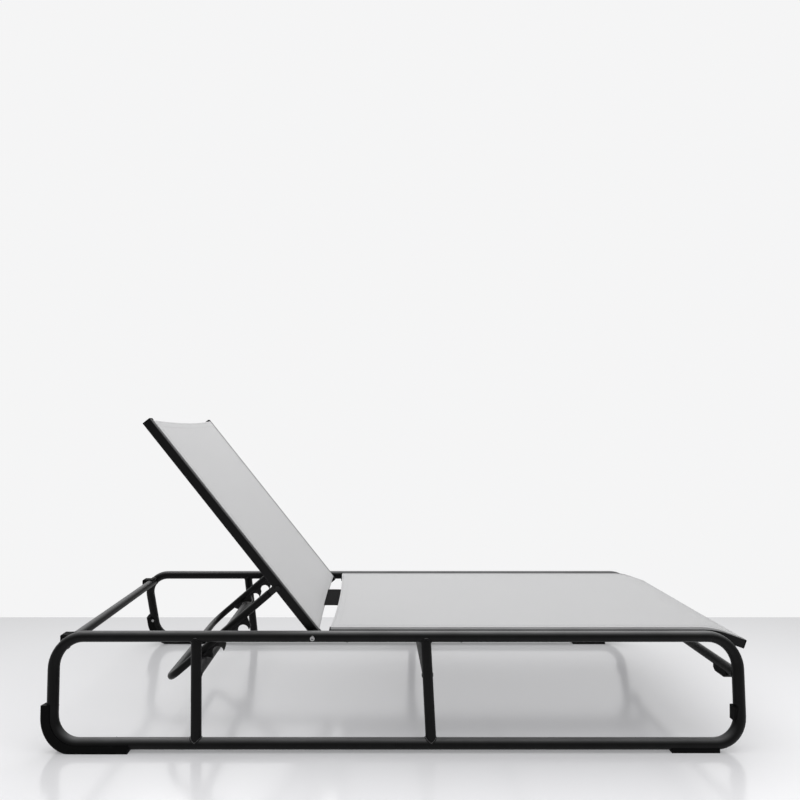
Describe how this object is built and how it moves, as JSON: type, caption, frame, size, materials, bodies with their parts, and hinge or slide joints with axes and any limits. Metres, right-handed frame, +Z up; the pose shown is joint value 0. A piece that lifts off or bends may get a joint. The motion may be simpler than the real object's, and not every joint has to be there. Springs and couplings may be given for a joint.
{
  "type": "reclining sun lounger",
  "caption": "Sled-base tube sun lounger with a drooped mesh sling seat and a reclining mesh sling back propped by a notched bail on a catch bar.",
  "frame": {"origin": "on the floor, under the middle of the whole length and width", "axes": "+X along the lounger towards the foot end, +Y to the lying person's left, +Z up"},
  "size_m": [1.9795, 0.759, 0.9077],
  "materials": {
    "powder_coat": "matt black powder coat on aluminium tube",
    "dark_steel": "black coated steel",
    "sling_mesh": "light grey woven coated mesh",
    "keder_cord": "black round cord",
    "webbing": "black woven webbing",
    "black_plastic": "moulded black nylon",
    "stainless": "bright stainless"
  },
  "bodies": {
    "frame": {"side_loop_left": "powder_coat", "side_loop_right": "powder_coat", "head_strut_left": "powder_coat", "head_strut_right": "powder_coat", "mid_strut_left": "powder_coat", "mid_strut_right": "powder_coat", "loop_joint_sleeves": "powder_coat", "head_cross_tube": "powder_coat", "catch_bar": "powder_coat", "mid_cross_tube": "powder_coat", "foot_cross_tube": "powder_coat", "seat_rail_left": "powder_coat", "seat_rail_right": "powder_coat", "seat_spreader_head": "powder_coat", "seat_spreader_mid": "powder_coat", "seat_spreader_foot": "powder_coat", "seat_sling": "sling_mesh", "seat_keder_rods": "keder_cord", "seat_end_caps": "black_plastic", "seat_brackets": "dark_steel", "seat_bolts": "dark_steel", "head_boot_left": "black_plastic", "head_boot_right": "black_plastic", "boot_screws": "stainless", "foot_glide_left": "black_plastic", "foot_glide_right": "black_plastic", "backrest_pads": "black_plastic", "stacking_pads": "black_plastic", "inner_bumpers": "black_plastic", "pivot_bolt_left": "stainless", "pivot_bolt_right": "stainless", "pivot_nuts": "stainless", "gap_strap": "webbing"},
    "backrest": {"backrest_rail_left": "powder_coat", "backrest_rail_right": "powder_coat", "pivot_bush_left": "black_plastic", "pivot_bush_right": "black_plastic", "backrest_spreader_lower": "powder_coat", "backrest_spreader_upper": "powder_coat", "backrest_spreader_top": "powder_coat", "backrest_sling": "sling_mesh", "backrest_keder_rods": "keder_cord", "backrest_end_caps": "black_plastic", "bail_pin_left": "dark_steel", "bail_pin_right": "dark_steel", "bail_pin_nuts": "dark_steel"},
    "bail": {"bail_tube": "powder_coat", "bail_tongue_left": "dark_steel", "bail_tongue_right": "dark_steel", "rack_left": "dark_steel", "rack_right": "dark_steel"}
  },
  "joints": [
    {"name": "backrest_hinge", "type": "hinge", "parent": "frame", "child": "backrest", "pos_m": [-0.243, 0, 0.2915], "axis": [0, 1, 0], "range_deg": [-50.9, 0]},
    {"name": "bail_hinge", "type": "hinge", "parent": "backrest", "child": "bail", "pos_m": [-0.34767, 0, 0.41907], "axis": [0, 1, 0], "range_deg": [0, 89.2]}
  ],
  "couplings": [
    {"joint": "bail_hinge", "follows": "backrest_hinge", "ratio": -1.75}
  ]
}
